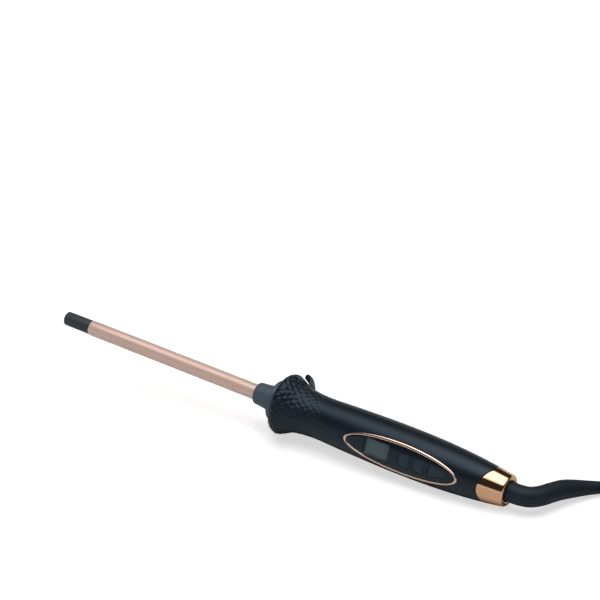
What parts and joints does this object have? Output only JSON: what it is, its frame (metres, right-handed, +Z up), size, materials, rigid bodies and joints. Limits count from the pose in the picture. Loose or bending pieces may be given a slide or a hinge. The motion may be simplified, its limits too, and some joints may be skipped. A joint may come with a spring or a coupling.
{
  "type": "curling wand",
  "caption": "Slim curling wand: heated rose-gold barrel with cool tip, flared grip, oval display panel with keys, prop stand and swivelling mains lead.",
  "frame": {"origin": "middle of the wand's footprint on the surface it lies on, without its lead", "axes": "+X along the wand from tip to cord end, +Z up, the panel faces -Y"},
  "size_m": [0.5865, 0.0882, 0.0412],
  "materials": {
    "satin_black": "satin",
    "tip_black": "matte",
    "collar_grey": "satin",
    "rose_gold": "satin, coated",
    "polished_rose_gold": "polished",
    "gloss_black": "gloss",
    "clear_window": "clear",
    "display_grey": "satin",
    "steel": "bright",
    "aluminium": "milled",
    "brass": "bright",
    "white_ceramic": "matte",
    "board_green": "solder mask",
    "inner_black": "matte",
    "wire_white": "matte",
    "acetal": "satin",
    "rubber_black": "matte"
  },
  "bodies": {
    "lead": {"swivel_core": "inner_black", "slip_ring_live": "brass", "slip_ring_neutral": "brass", "boot": "rubber_black", "cord_tube": "rubber_black", "cord_tail": "rubber_black", "cord_hank": "rubber_black", "cord_tie": "rubber_black", "plug_body": "rubber_black", "plug_pin_1": "steel", "plug_pin_2": "steel"},
    "wand": {"cool_tip": "tip_black", "barrel": "rose_gold", "heater_core": "white_ceramic", "heater_carrier_front": "aluminium", "heater_carrier_back": "aluminium", "heater_lead_1": "wire_white", "heater_lead_2": "wire_white", "collar": "collar_grey", "flange_ring": "collar_grey", "heat_sleeve": "white_ceramic", "barrel_clamp": "steel", "thermal_fuse": "steel", "panel_shell": "satin_black", "back_shell": "satin_black", "shell_screw_1": "steel", "shell_screw_2": "steel", "end_ring": "polished_rose_gold", "bezel": "polished_rose_gold", "panel_face": "gloss_black", "lcd_window": "clear_window", "lcd_module": "display_grey", "circuit_board": "board_green", "minus_switch": "inner_black", "plus_switch": "inner_black", "power_switch": "inner_black", "capacitor": "inner_black", "triac": "inner_black", "transformer": "white_ceramic", "stand_pin_left": "steel", "stand_pin_right": "steel", "swivel_bush": "acetal", "contact_spring_live": "brass", "contact_spring_neutral": "brass", "contact_block": "inner_black"},
    "minus_key": {"minus_button": "gloss_black"},
    "plus_key": {"plus_button": "gloss_black"},
    "power_key": {"power_button": "gloss_black"},
    "stand": {"stand": "satin_black"}
  },
  "joints": [
    {"name": "swivel", "type": "hinge", "parent": "lead", "child": "wand", "pos_m": [0.16006, -0.00114, 0.01231], "axis": [0.9983, 0, -0.0584], "continuous": true},
    {"name": "stand_fold", "type": "hinge", "parent": "wand", "child": "stand", "pos_m": [0.01609, 0.01567, 0.0171], "axis": [-0.0571, -0.2113, -0.9757], "range_deg": [0, 55]},
    {"name": "minus_press", "type": "slide", "parent": "wand", "child": "minus_key", "axis": [-0.0123, 0.9774, -0.211], "range_m": [0, 0.0006], "stiffness_N_per_m": 800, "springref_m": -0.0004},
    {"name": "plus_press", "type": "slide", "parent": "wand", "child": "plus_key", "axis": [-0.0123, 0.9774, -0.211], "range_m": [0, 0.0006], "stiffness_N_per_m": 800, "springref_m": -0.0004},
    {"name": "power_press", "type": "slide", "parent": "wand", "child": "power_key", "axis": [-0.0123, 0.9774, -0.211], "range_m": [0, 0.0006], "stiffness_N_per_m": 800, "springref_m": -0.0004}
  ]
}
